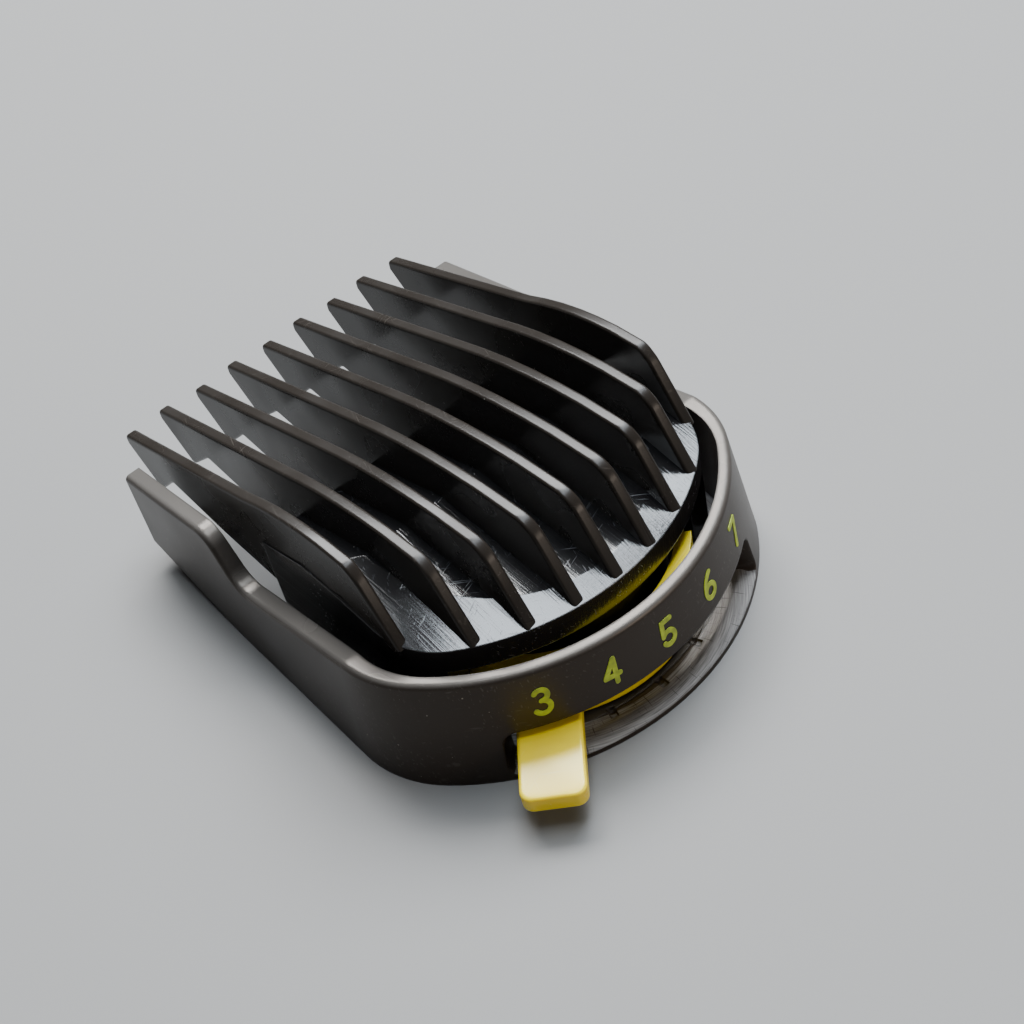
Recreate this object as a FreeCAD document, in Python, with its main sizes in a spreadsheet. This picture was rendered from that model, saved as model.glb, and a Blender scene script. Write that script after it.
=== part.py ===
"""Adjustable guard comb for a hair or beard trimmer.

Millimetres, +Z up. The origin lies on the base plane, on the axis that the
thumb lever turns about. +Y points to the tips of the teeth, the lever is on
the -X side at rest. Three bodies move against each other: the outer band with
its retainer plate, the cam ring with the lever, and the comb that the ring
lifts straight up.
"""
import math
import os

import FreeCAD
import Part
import Sketcher

VECTOR = FreeCAD.Vector
UP = VECTOR(0, 0, 1)

doc = FreeCAD.newDocument("guard_comb")

# ---------------------------------------------------------------- dimensions
SIZES = [
    # outer band
    ("band_half_width", 20.9, "half width where the corners end"),
    ("band_tip_taper", 1.3, "how much narrower each side is at the arm tips"),
    ("band_front_excess", 3.1, "radius of the front arc beyond the half width"),
    ("band_corner_radius", 11.0, "radius of the two corners"),
    ("band_length", 33.9, "lever axis to the arm tips"),
    ("band_height", 10.6, "height of the band's top edge at the front"),
    ("band_flare", 0.15, "lean of the front wall, per mm of height"),
    ("side_flare", 0.09, "lean of the side walls where the corners end, per mm"),
    ("band_shoulder", 0.5, "rounding of the band's top outer edge"),
    ("front_wall", 2.6, "wall at the front, at the base"),
    ("side_wall", 2.6, "wall where the corners end, at the base"),
    ("arm_wall", 1.65, "wall of the arms at their tips"),
    ("arm_dip_place", 16.5, "lowest point of the arm's top edge, along Y"),
    ("arm_dip_height", 7.8, "height there"),
    ("arm_peak_place", 19.8, "top of the step in the arm, along Y"),
    ("arm_peak_height", 12.4, "height there"),
    ("arm_tip_height", 10.6, "height of the arm's top edge at its tip"),
    ("arm_rise_place", 20.0, "where the arm's lower edge leaves the base"),
    ("arm_tip_rise", 2.5, "height of the lower edge at the tip"),
    ("arm_bend_radius", 2.6, "rounding of the bends in the arm's top edge"),
    ("rib_relief", 0.6, "how far a clip rib stands in from its arm"),
    ("rib_length", 5.0, "length of a clip rib"),
    ("rib_height", 1.0, "height of a clip rib"),
    ("rib_inset", 2.4, "arm tip to the clip rib"),
    ("rib_bottom", 3.6, "height of a clip rib's lower face"),
    # slot, retainer plate and guide sleeve
    ("slot_spare_angle", 12.0, "slot beyond the lever's first and last setting, degrees"),
    ("slot_head_gap", 0.7, "gap between the lever and the top of its slot"),
    ("slot_rounding", 1.1, "rounding of the slot's ends"),
    ("ledge_slope_width", 1.5, "sloping outer part of the ledge under the slot"),
    ("ledge_drop", 0.5, "drop of the ledge over its slope"),
    ("plate_thickness", 0.9, "thickness of the retainer plate"),
    ("plate_spare", 0.5, "plate beyond the inside of the cam ring, along Y"),
    ("socket_radius", 8.9, "radius of the opening for the trimmer's neck"),
    ("sleeve_wall", 0.9, "wall of the guide sleeve"),
    ("sleeve_height", 7.0, "height of the guide sleeve over the plate"),
    # lever, cam ring and clicks
    ("ring_skirt_gap", 0.9, "gap between the lift skirt and the cam ring"),
    ("ring_wall", 1.4, "wall of the cam ring"),
    ("ring_band_gap", 0.4, "gap between the cam ring and the band's wall"),
    ("ring_lift", 0.3, "running gap between plate and ring"),
    ("groove_depth", 0.8, "depth of the cam grooves"),
    ("groove_margin", 0.5, "cam ring above and below its grooves"),
    ("cam_rise", 4.0, "lift from the first setting to the last"),
    ("swing_angle", 80.0, "turn of the lever over all settings, degrees"),
    ("lever_width", 5.3, "width of the thumb lever"),
    ("lever_thickness", 2.1, "thickness of the thumb lever"),
    ("lever_overhang", 6.7, "front of the wall to the lever's tip"),
    ("lever_gap", 0.9, "gap under the lever"),
    ("lever_corner", 1.0, "rounding of the lever's outer corners"),
    ("lever_edge", 0.3, "rounding of the lever's edges"),
    ("pin_spread", 10.0, "turn between the two grooves, degrees"),
    ("ring_spare_angle", 6.0, "ring beyond the end of a groove, degrees"),
    ("click_depth", 0.25, "depth of the click notches"),
    ("click_inset", 0.3, "ring to the inner end of the notches"),
    ("click_end_inset", 0.1, "outer end of the notches to the start of the ledge's slope"),
    ("click_slack", 0.2, "free length of a notch at each end of the nub"),
    ("click_gap", 0.05, "height of the nub over the ledge"),
    ("click_radius", 0.4, "radius of the click nub"),
    # comb
    ("comb_side_gap", 1.6, "gap between the comb and the band's side walls"),
    ("comb_ring_gap", 0.46, "front of the comb's rim to the inside of the cam ring"),
    ("comb_front_excess", 5.3, "radius of the rim's front arc beyond its half width"),
    ("comb_corner_radius", 8.0, "radius of the rim's corners"),
    ("comb_wall", 1.3, "wall of the comb's base"),
    ("floor_thickness", 1.3, "thickness of the floors between the teeth"),
    ("floor_spare", 3.1, "floors beyond the inside of the cam ring, along Y"),
    ("floor_front_height", 12.2, "height of the floors at their front edge"),
    ("floor_bend", 4.6, "ridge line of the floors, along Y"),
    ("floor_bend_height", 14.4, "height of the floors there"),
    ("rim_height", 11.7, "height of the rim"),
    ("rim_facet", 0.35, "rise of the bright facet inside the rim, per mm"),
    ("floor_rim_height", 12.1, "height where the floor meets the facet"),
    ("ring_head_gap", 1.5, "cam ring to the comb's lower edge over it"),
    ("ring_room_gap", 0.35, "gap round the cam ring"),
    ("wall_setback", 6.0, "lever axis back to where the deep side walls start"),
    ("beam_bottom", 6.9, "height of the lower edge of the front beam"),
    ("tooth_count", 9.0, "number of teeth"),
    ("tooth_margin", 0.7, "middle of an outermost tooth to the comb's side"),
    ("tooth_thickness", 1.15, "thickness of a tooth"),
    ("tooth_edge", 0.3, "rounding of a tooth's top edges"),
    ("tooth_tip", 38.4, "tips of the odd teeth, along Y"),
    ("tooth_stagger", 0.35, "extra length of the even teeth"),
    ("tooth_tip_height", 11.2, "height of the ridge at the tip"),
    ("tooth_nose", 34.9, "lowest point of the nose, along Y"),
    ("tooth_nose_height", 6.6, "height of the nose's lowest point"),
    ("tooth_notch", 31.0, "notch behind the nose, along Y"),
    ("tooth_notch_height", 9.4, "height of the notch"),
    ("ridge_bend", 16.3, "where the straight ridge turns into its arc"),
    ("ridge_bend_height", 16.4, "height there"),
    ("ridge_radius", 80.0, "radius of the ridge's arc"),
    ("tooth_shoulder", 3.0, "rounding of a tooth's rear shoulder"),
    ("tooth_drop_run", 4.1, "foot of a tooth to the top of its rear end, along Y"),
    ("tooth_root_height", 7.1, "height of a tooth's lower edge at the front beam"),
    ("tip_thickness", 1.0, "height of the blunt end of a tip"),
    ("tip_rounding", 0.5, "rounding of the tip's upper corner"),
    ("nose_flat", 0.6, "flat under the nose"),
    ("foot_inset", 0.15, "rim edge to the foot of a tooth"),
    ("skirt_gap", 0.2, "running gap between guide sleeve and lift skirt"),
    ("skirt_wall", 1.0, "wall of the lift skirt"),
    ("skirt_floor_gap", 0.35, "gap between lift skirt and plate at rest"),
    ("pin_radius", 0.65, "radius of the lift pins"),
    ("pin_gap", 0.15, "gap between a lift pin and its groove"),
    # numerals
    ("digit_height", 2.8, "height of a numeral"),
    ("digit_width", 1.75, "width of a numeral"),
    ("digit_turn", 2.5, "numerals beyond the lever's settings, degrees"),
    ("digit_spread", 1.3, "extra turn from one numeral to the next, degrees"),
    ("digit_stroke", 0.45, "stroke of a numeral"),
    ("digit_relief", 0.06, "thickness of the printed numerals"),
    ("digit_centre_height", 7.35, "height of the middle of the numerals"),
]

# Sizes that follow from the ones above, so that the pieces keep fitting each other.
FOLLOWING = [
    ("skirt_inner_radius", "socket_radius + sleeve_wall + skirt_gap"),
    ("ring_inner_radius", "skirt_inner_radius + skirt_wall + ring_skirt_gap"),
    ("ring_outer_radius", "ring_inner_radius + ring_wall"),
    ("ring_bottom", "plate_thickness + ring_lift"),
    ("groove_half_height", "pin_radius + pin_gap"),
    ("ring_height", "cam_rise + 2 * (groove_half_height + groove_margin)"),
    ("pin_height", "ring_bottom + groove_margin + groove_half_height"),
    ("band_reach", "ring_outer_radius + ring_band_gap + front_wall"),
    ("band_tip_half_width", "band_half_width - band_tip_taper"),
    ("band_front_radius", "band_half_width + band_front_excess"),
    ("slot_half_angle", "0.5 * swing_angle + slot_spare_angle"),
    ("slot_height", "ring_lift + lever_gap + lever_thickness + slot_head_gap"),
    ("plate_length", "ring_inner_radius + plate_spare"),
    ("lever_angle", "-0.5 * swing_angle"),
    ("setting_step", "0.25 * swing_angle"),
    ("lever_reach", "band_reach + lever_overhang"),
    ("click_start", "ring_outer_radius + click_inset"),
    ("click_end", "band_reach - ledge_slope_width - click_end_inset"),
    ("comb_half_width", "band_half_width - side_wall - comb_side_gap"),
    ("comb_reach", "ring_inner_radius - comb_ring_gap"),
    ("comb_front_radius", "comb_half_width + comb_front_excess"),
    ("floor_front", "ring_inner_radius + floor_spare"),
    ("room_height", "ring_bottom + ring_height + ring_head_gap"),
    ("skirt_bottom", "plate_thickness + skirt_floor_gap"),
    ("tooth_pitch", "2 * (comb_half_width - tooth_margin) / (tooth_count - 1)"),
]

sheet = doc.addObject("Spreadsheet::Sheet", "sizes")
for row, (alias, value, meaning) in enumerate(SIZES, start=1):
    sheet.set("A%d" % row, meaning)
    sheet.set("B%d" % row, str(value))
    sheet.setAlias("B%d" % row, alias)
doc.recompute()


def replace_word(text, word, new):
    """Replace whole words only, so that one name may be part of another."""
    pieces = text.split(word)
    built = pieces[0]
    for piece in pieces[1:]:
        before = built[-1:] if built else " "
        after = piece[:1] if piece else " "
        whole = not (before.isalnum() or before in "_.") and not (after.isalnum() or after == "_")
        built += (new if whole else word) + piece
    return built


def over_cells(text):
    """An expression with each following size written out over the sheet's cells."""
    for name, meaning in reversed(FOLLOWING):
        text = replace_word(text, name, "(%s)" % meaning)
    return text


def size(text):
    """The number that an expression gives."""
    result = sheet.evalExpression(over_cells(text))
    return float(getattr(result, "Value", result))


def bound(text):
    """The same expression as another object of the document reads it."""
    text = over_cells(text)
    for alias, _, _ in SIZES:
        text = replace_word(text, alias, "sizes." + alias)
    return text


# -------------------------------------------------------------------- helpers
def bind(thing, prop, text):
    thing.setExpression(prop, bound(text))


def add(kind, name):
    return doc.addObject(kind, name)


def new_sketch(name, plane, height="0"):
    """A sketch on XY, or on YZ with its own X along +Y."""
    sketch = add("Sketcher::SketchObject", name)
    turn = FreeCAD.Rotation()
    if plane == "YZ":
        turn = FreeCAD.Rotation(VECTOR(0, 1, 0), VECTOR(0, 0, 1), VECTOR(1, 0, 0), "ZXY")
    sketch.Placement = FreeCAD.Placement(VECTOR(0, 0, 0), turn)
    if height != "0":
        bind(sketch, "Placement.Base.z", height)
    return sketch


def pin_point(sketch, geometry, end, across, along):
    """Fix one point of a sketch at two expressions."""
    for kind, text in (("DistanceX", across), ("DistanceY", along)):
        index = sketch.addConstraint(
            Sketcher.Constraint(kind, -1, 1, geometry, end, size(text)))
        bind(sketch, "Constraints[%d]" % index, text)


def polygon(sketch, corners):
    """A closed outline through corners given as pairs of expressions."""
    points = [VECTOR(size(a), size(b), 0) for a, b in corners]
    first = sketch.GeometryCount
    count = len(points)
    for i in range(count):
        sketch.addGeometry(Part.LineSegment(points[i], points[(i + 1) % count]), False)
    for i in range(count):
        sketch.addConstraint(
            Sketcher.Constraint("Coincident", first + i, 2, first + (i + 1) % count, 1))
        pin_point(sketch, first + i, 1, *corners[i])
    return sketch


def u_outline(name, half_width, tip_half_width, reach, front_radius, corner_radius, length,
              height="0"):
    """Front arc, two corner arcs, two sides and a straight rear edge."""
    sketch = new_sketch(name, "XY", height)
    width, tip, near = size(half_width), size(tip_half_width), size(reach)
    big, small, far = size(front_radius), size(corner_radius), size(length)
    front_middle = big - near
    corner_x = width - small
    corner_y = front_middle - math.sqrt((big - small) ** 2 - corner_x ** 2)
    # the side leaves the corner arc at a tangent and ends at the tip
    run_x, run_y = tip - corner_x, far - corner_y
    run = math.hypot(run_x, run_y)
    lean = math.atan2(run_y, run_x) - math.acos(small / run)
    front_angle = math.atan2(corner_y - front_middle, corner_x)
    side = VECTOR(corner_x + small * math.cos(lean), corner_y + small * math.sin(lean), 0)
    mirror = VECTOR(-side.x, side.y, 0)
    front = Part.ArcOfCircle(Part.Circle(VECTOR(0, front_middle, 0), UP, big),
                             -math.pi - front_angle, front_angle)
    right = Part.ArcOfCircle(Part.Circle(VECTOR(corner_x, corner_y, 0), UP, small),
                             front_angle, lean)
    left = Part.ArcOfCircle(Part.Circle(VECTOR(-corner_x, corner_y, 0), UP, small),
                            math.pi - lean, math.pi - front_angle)
    sketch.addGeometry(front, False)
    sketch.addGeometry(right, False)
    sketch.addGeometry(Part.LineSegment(side, VECTOR(tip, far, 0)), False)
    sketch.addGeometry(Part.LineSegment(VECTOR(tip, far, 0), VECTOR(-tip, far, 0)), False)
    sketch.addGeometry(Part.LineSegment(VECTOR(-tip, far, 0), mirror), False)
    sketch.addGeometry(left, False)
    constraint = Sketcher.Constraint
    for a, a_end, b, b_end in ((0, 2, 1, 1), (1, 2, 2, 1), (4, 2, 5, 1), (5, 2, 0, 1)):
        sketch.addConstraint(constraint("Tangent", a, a_end, b, b_end))
    sketch.addConstraint(constraint("Coincident", 2, 2, 3, 1))
    sketch.addConstraint(constraint("Coincident", 3, 2, 4, 1))
    pin_point(sketch, 2, 2, tip_half_width, length)
    pin_point(sketch, 3, 2, "-1 * (%s)" % tip_half_width, length)
    pin_point(sketch, 0, 3, "0", "(%s) - (%s)" % (front_radius, reach))
    for arc, text in ((0, front_radius), (1, corner_radius), (5, corner_radius)):
        index = sketch.addConstraint(constraint("Radius", arc, size(text)))
        bind(sketch, "Constraints[%d]" % index, text)
    for arc, sign in ((1, "1"), (5, "-1")):
        text = "%s * ((%s) - (%s))" % (sign, half_width, corner_radius)
        index = sketch.addConstraint(constraint("DistanceX", -1, 1, arc, 3, size(text)))
        bind(sketch, "Constraints[%d]" % index, text)
    return sketch


def extrude(name, sketch, length, both_ways=False):
    """The solid that a sketch sweeps along its normal."""
    solid = add("Part::Extrusion", name)
    solid.Base = sketch
    solid.DirMode = "Normal"
    solid.Solid = True
    solid.Symmetric = both_ways
    bind(solid, "LengthFwd", length)
    return solid


def block(name, corner, sides):
    """A box from its low corner and its three side lengths."""
    box = add("Part::Box", name)
    for axis, text in zip("xyz", corner):
        bind(box, "Placement.Base." + axis, text)
    for prop, text in zip(("Length", "Width", "Height"), sides):
        bind(box, prop, text)
    return box


def cylinder(name, radius, height, bottom="0"):
    solid = add("Part::Cylinder", name)
    bind(solid, "Radius", radius)
    bind(solid, "Height", height)
    bind(solid, "Placement.Base.z", bottom)
    return solid


def cut(name, base, tool):
    solid = add("Part::Cut", name)
    solid.Base = base
    solid.Tool = tool
    return solid


def common(name, base, tool):
    solid = add("Part::Common", name)
    solid.Base = base
    solid.Tool = tool
    return solid


def fuse(name, shapes):
    solid = add("Part::MultiFuse", name)
    solid.Shapes = shapes
    return solid


def fillet(name, base, radius, wanted):
    """Round the edges of base that the function wanted picks."""
    doc.recompute()
    value = size(radius)
    solid = add("Part::Fillet", name)
    solid.Base = base
    picked = [i for i, edge in enumerate(base.Shape.Edges, start=1) if wanted(edge)]
    if not picked:
        raise RuntimeError(name + ": no edge to round")
    solid.Edges = [(i, value, value) for i in picked]
    return solid


def tube(name, inner, wall, height, bottom):
    """A round tube about the lever's axis."""
    outside = cylinder(name + "_outside", "(%s) + (%s)" % (inner, wall), height, bottom)
    inside = cylinder(name + "_inside", inner, height, bottom)
    return cut(name, outside, inside)


def polar(angle, radius, height=0.0):
    """A point at an angle in degrees from the front, towards +X."""
    turn = math.radians(angle)
    return VECTOR(radius * math.sin(turn), -radius * math.cos(turn), height)


def sector(name, inner, outer, bottom, height, start, sweep):
    """A ring segment from a start angle, both in degrees from the front."""
    wedge = add("Part::Cylinder", name + "_outside")
    bind(wedge, "Radius", outer)
    bind(wedge, "Height", height)
    bind(wedge, "Angle", sweep)
    wedge.Placement = FreeCAD.Placement(VECTOR(0, 0, 0), FreeCAD.Rotation(UP, size(start) - 90.0))
    bind(wedge, "Placement.Base.z", bottom)
    bind(wedge, "Placement.Rotation.Angle", "((%s) - 90) * 1 deg" % start)
    core = cylinder(name + "_inside", inner, height, bottom)
    return cut(name, wedge, core)


nodes = []


def node(name, solid):
    """Give a finished sub-part its own label."""
    solid.Label = name
    nodes.append((name, solid))
    return solid


# ------------------------------------------------------------------ outer band
def side_profile():
    """The band from the side: top edge with its step, lower edge of the arms."""
    sketch = new_sketch("band_side", "YZ")
    return polygon(sketch, [
        ("-1 * band_reach - 1", "0"),
        ("arm_rise_place", "0"),
        ("band_length + 1", "arm_tip_rise"),
        ("band_length + 1", "arm_tip_height"),
        ("arm_peak_place", "arm_peak_height"),
        ("arm_dip_place", "arm_dip_height"),
        ("0", "band_height"),
        ("-1 * band_reach - 1", "band_height"),
    ])


def inner_outline(name, length):
    return u_outline(name, "band_half_width - side_wall", "band_tip_half_width - arm_wall",
                     "band_reach - front_wall", "band_front_radius - front_wall",
                     "band_corner_radius - side_wall", length)


def flared_block(name, grow):
    """The band's outer shape: it leans in at the front and stands upright at the tips."""
    outlines = []
    for end, height in (("foot", "0"), ("head", "arm_peak_height + 1")):
        front = "(%s) * band_flare" % height
        side = "(%s) * side_flare" % height
        outlines.append(u_outline(
            name + "_" + end, "band_half_width + (%s) - %s" % (grow, side),
            "band_tip_half_width + (%s)" % grow, "band_reach + (%s) - %s" % (grow, front),
            "band_front_radius + (%s) - %s" % (grow, front),
            "band_corner_radius + (%s) - %s" % (grow, side), "band_length", height))
    loft = add("Part::Loft", name)
    loft.Sections = outlines
    loft.Solid = True
    loft.Ruled = True
    return loft


def near(edge, across_y, height):
    """Whether an edge runs along X through the point (Y, Z)."""
    middle = edge.CenterOfMass
    box = edge.BoundBox
    straight = box.YLength < 0.01 and box.ZLength < 0.01
    return straight and math.hypot(middle.y - across_y, middle.z - height) < 0.02


def is_shoulder(edge):
    """The top outer edge of the band, from one arm tip round to the other."""
    box = edge.BoundBox
    middle = edge.CenterOfMass
    along_wall = box.XLength < 0.8 * size("band_half_width") or box.YLength > 2
    return along_wall and middle.z > size("arm_dip_height") - 0.5 and box.ZLength < 5


band_block = flared_block("band_block", "0")


def band_blank():
    """The band as a full block with its step, its rounded shoulder and no inside."""
    side = extrude("band_side_block", side_profile(), "2 * band_half_width + 4", both_ways=True)
    bends = [("arm_peak_place", "arm_peak_height"), ("arm_dip_place", "arm_dip_height"),
             ("0", "band_height")]
    places = [(size(a), size(b)) for a, b in bends]
    smooth = fillet("band_side_smooth", side, "arm_bend_radius",
                    lambda edge: any(near(edge, *place) for place in places))
    shell = common("band_solid", band_block, smooth)
    return fillet("band_rounded", shell, "band_shoulder", is_shoulder)


def slot_space():
    """What is cut out of the wall for the lever, with rounded ends."""
    ring = sector("slot", "ring_inner_radius", "band_half_width + 5",
                  "plate_thickness - ledge_drop", "slot_height + ledge_drop",
                  "-1 * slot_half_angle", "2 * slot_half_angle")

    def at_end(edge):
        box = edge.BoundBox
        return box.ZLength < 0.01 and isinstance(edge.Curve, Part.Line)

    # the ledge that stays: flat inside, and sloping down to the outer wall
    ledge = add("Part::Cone", "slot_ledge")
    bind(ledge, "Radius1", "band_front_radius")
    bind(ledge, "Radius2", "band_front_radius - ledge_slope_width")
    bind(ledge, "Height", "ledge_drop")
    bind(ledge, "Placement.Base.y", "band_front_radius - band_reach")
    bind(ledge, "Placement.Base.z", "plate_thickness - ledge_drop")
    return cut("slot_over_ledge", fillet("slot_rounded", ring, "slot_rounding", at_end), ledge)


def radial_pin(name, radius, start, end, angle, height):
    """A round pin that points outwards from the lever's axis."""
    pin = add("Part::Cylinder", name)
    bind(pin, "Radius", radius)
    bind(pin, "Height", "(%s) - (%s)" % (end, start))
    turn = FreeCAD.Rotation(UP, size(angle)) * FreeCAD.Rotation(VECTOR(1, 0, 0), 90)
    bind(pin, "Placement.Base.x", "(%s) * sin((%s) * 1 deg)" % (start, angle))
    bind(pin, "Placement.Base.y", "-1 * (%s) * cos((%s) * 1 deg)" % (start, angle))
    bind(pin, "Placement.Base.z", height)
    pin.Placement.Rotation = turn
    return pin


def click_notches():
    """Five shallow notches across the ledge, one for each setting."""
    pins = []
    for setting in range(5):
        angle = "lever_angle + %d * setting_step" % setting
        pins.append(radial_pin("notch_%d" % setting, "click_radius",
                               "click_start", "click_end", angle,
                               "plate_thickness + click_radius - click_depth"))
    return fuse("notches", pins)


def clip_ribs():
    """The two ribs inside the arms that clip under the trimmer's head."""
    ribs = []
    for side, low in (("left", "-1 * band_tip_half_width"),
                      ("right", "band_tip_half_width - arm_wall - rib_relief")):
        ribs.append(block("clip_rib_" + side,
                          (low, "band_length - rib_inset - rib_length", "rib_bottom"),
                          ("arm_wall + rib_relief", "rib_length", "rib_height")))
    return ribs


notches = click_notches()
inside = extrude("band_inside_space", inner_outline("band_inside", "band_length + 5"),
                 "arm_peak_height + 1")
wall = cut("band_wall", cut("band_open", band_blank(), inside), slot_space())
node("outer_band", fuse("outer_band", [cut("band_notched", wall, notches)] + clip_ribs()))


# ------------------------------------------------- retainer plate and its sleeve
def retainer_plate():
    """The plate that closes the band from below and carries the ring."""
    outline = inner_outline("plate_outline", "band_length + 5")
    whole = extrude("plate_block", outline, "plate_thickness")
    field = block("plate_field", ("-2 * band_half_width", "-2 * band_reach", "0"),
                  ("4 * band_half_width", "plate_length + 2 * band_reach", "plate_thickness"))
    plate = common("plate_short", whole, field)
    hole = cylinder("plate_hole", "socket_radius", "plate_thickness")
    return cut("plate_notched", cut("plate_open", plate, hole), notches)


node("retainer_plate", retainer_plate())
node("guide_sleeve", tube("sleeve", "socket_radius", "sleeve_wall", "sleeve_height",
                          "plate_thickness"))

# --------------------------------------------------- cam ring, lever and click nub
# the round ends of a groove are a little wider than its run, so that the two cuts cross
GROOVE_END = "pin_radius + 1.25 * pin_gap"
PIN_ANGLES = (("left", "-0.5 * swing_angle - pin_spread"), ("right", "0.5 * swing_angle"))


def cam_groove(side, angle):
    """A left-hand helical groove with round ends on the ring's inside."""
    spine = add("Part::Helix", "groove_path_" + side)
    spine.LocalCoord = 1
    bind(spine, "Pitch", "cam_rise * 360 / swing_angle")
    bind(spine, "Height", "cam_rise")
    bind(spine, "Radius", "ring_inner_radius")
    section = new_sketch("groove_section_" + side, "YZ")
    section.Placement.Rotation = FreeCAD.Rotation(VECTOR(1, 0, 0), 90)
    polygon(section, [("ring_inner_radius - groove_depth", "-1 * groove_half_height"),
                      ("ring_inner_radius + groove_depth", "-1 * groove_half_height"),
                      ("ring_inner_radius + groove_depth", "groove_half_height"),
                      ("ring_inner_radius - groove_depth", "groove_half_height")])
    doc.recompute()
    sweep = add("Part::Sweep", "groove_" + side)
    sweep.Sections = [section]
    sweep.Spine = (spine, ["Edge%d" % (i + 1) for i in range(len(spine.Shape.Edges))])
    sweep.Solid = True
    sweep.Frenet = True
    turn = FreeCAD.Rotation(UP, size(angle) - 90.0)
    sweep.Placement = FreeCAD.Placement(VECTOR(0, 0, 0), turn)
    bind(sweep, "Placement.Base.z", "pin_height")
    ends = []
    for number, (back, rise) in enumerate((("0", "0"), ("swing_angle", "cam_rise"))):
        ends.append(radial_pin("groove_end_%s_%d" % (side, number), GROOVE_END,
                               "ring_inner_radius - groove_depth",
                               "ring_inner_radius + groove_depth",
                               "(%s) - (%s)" % (angle, back), "pin_height + %s" % rise))
    return [sweep] + ends


def cam_ring():
    spare = "ring_spare_angle"
    start = "-0.5 * swing_angle - pin_spread - swing_angle - %s" % spare
    sweep = "2 * swing_angle + pin_spread + 2 * %s" % spare
    blank = sector("ring_blank", "ring_inner_radius", "ring_outer_radius", "ring_bottom",
                   "ring_height", start, sweep)
    for side, angle in PIN_ANGLES:
        for space in reversed(cam_groove(side, angle)):
            blank = cut(space.Name + "_cut", blank, space)
    return blank


def thumb_lever():
    """A flat bar through the slot with a rounded outer end."""
    bar = add("Part::Box", "lever_bar")
    bind(bar, "Length", "lever_width")
    bind(bar, "Width", "lever_reach - ring_inner_radius")
    bind(bar, "Height", "lever_thickness")

    def outer_corner(edge):
        box = edge.BoundBox
        return box.ZLength > 1 and box.YMin > size("lever_reach - ring_inner_radius") - 0.01

    round_bar = fillet("lever_corners", bar, "lever_corner", outer_corner)

    def rim(edge):
        box = edge.BoundBox
        top_or_bottom = box.ZLength < 0.01
        return top_or_bottom and box.YMax > 0.1

    soft_bar = fillet("lever_soft", round_bar, "lever_edge", rim)
    # the bar is drawn along +Y from the ring outwards, then turned to its angle
    seat = add("Part::Compound", "lever_placed")
    seat.Links = [soft_bar]
    bind(bar, "Placement.Base.x", "-0.5 * lever_width")
    seat.Placement = FreeCAD.Placement(
        polar(size("lever_angle"), size("ring_inner_radius"), size("ring_bottom + lever_gap")),
        FreeCAD.Rotation(UP, size("lever_angle") + 180.0))
    core = cylinder("lever_core", "ring_outer_radius", "4 * ring_height")
    return cut("lever_cut", seat, core)


node("cam_ring", cam_ring())
lever = node("thumb_lever", thumb_lever())
nub = radial_pin("nub", "click_radius", "click_start + click_slack", "click_end - click_slack",
                 "lever_angle", "plate_thickness + click_radius + click_gap")
node("click_nub", cut("nub_cut", nub, lever))


# ------------------------------------------------------------------------ comb
def comb_outline(name, inset, length):
    return u_outline(name, "comb_half_width - (%s)" % inset, "comb_half_width - (%s)" % inset,
                     "comb_reach - (%s)" % inset, "comb_front_radius - (%s)" % inset,
                     "comb_corner_radius - (%s)" % inset, length)


def floor_space(name, bottom, drop, front):
    """Everything under the floors: two slopes, and a cone that makes the rim facet."""
    profile = new_sketch(name + "_side", "YZ")
    slope = "(floor_bend_height - floor_rim_height) / (floor_bend + comb_reach)"
    polygon(profile, [
        ("-2 * comb_reach", bottom),
        (front, bottom),
        (front, "floor_front_height + (floor_front - (%s)) * (floor_bend_height"
                " - floor_front_height) / (floor_front - floor_bend) - (%s)" % (front, drop)),
        ("floor_bend", "floor_bend_height - (%s)" % drop),
        ("-2 * comb_reach", "floor_rim_height - comb_reach * %s - (%s)" % (slope, drop)),
    ])
    slopes = extrude(name + "_slopes", profile, "4 * comb_half_width", both_ways=True)
    cone = add("Part::Cone", name + "_facet")
    bind(cone, "Radius1", "comb_front_radius + 20")
    bind(cone, "Radius2", "comb_front_radius - 20")
    bind(cone, "Height", "40 * rim_facet")
    bind(cone, "Placement.Base.y", "comb_front_radius - comb_reach")
    bind(cone, "Placement.Base.z", "rim_height - 20 * rim_facet - (%s)" % drop)
    base = cylinder(name + "_under_facet", "comb_front_radius + 20", "20")
    bind(base, "Placement.Base.y", "comb_front_radius - comb_reach")
    bind(base, "Placement.Base.z", "rim_height - 20 * rim_facet - 20 - (%s)" % drop)
    cap = fuse(name + "_cap", [cone, base])
    return common(name, slopes, cap)


# the comb's base before it is hollowed: deep walls at the sides, an arch over the head
# of the trimmer, and room for the cam ring round the front
base_block = extrude("comb_block", comb_outline("comb_rim", "0", "floor_front"), "rim_height * 2")
under_floor = floor_space("comb_under_floor", "skirt_bottom", "0", "floor_front")
solid_base = common("comb_solid", base_block, under_floor)
ring_room = fuse("ring_room", [
    cylinder("ring_room_round", "ring_outer_radius + ring_room_gap", "room_height"),
    block("ring_room_front", ("-2 * comb_half_width", "-3 * comb_reach", "0"),
          ("4 * comb_half_width", "3 * comb_reach - wall_setback", "room_height")),
])
head_arch = block("head_arch", ("comb_wall - comb_half_width", "0", "0"),
                  ("2 * (comb_half_width - comb_wall)", "2 * floor_front", "beam_bottom"))
envelope = cut("comb_envelope", cut("comb_trimmed", solid_base, ring_room), head_arch)

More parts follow.
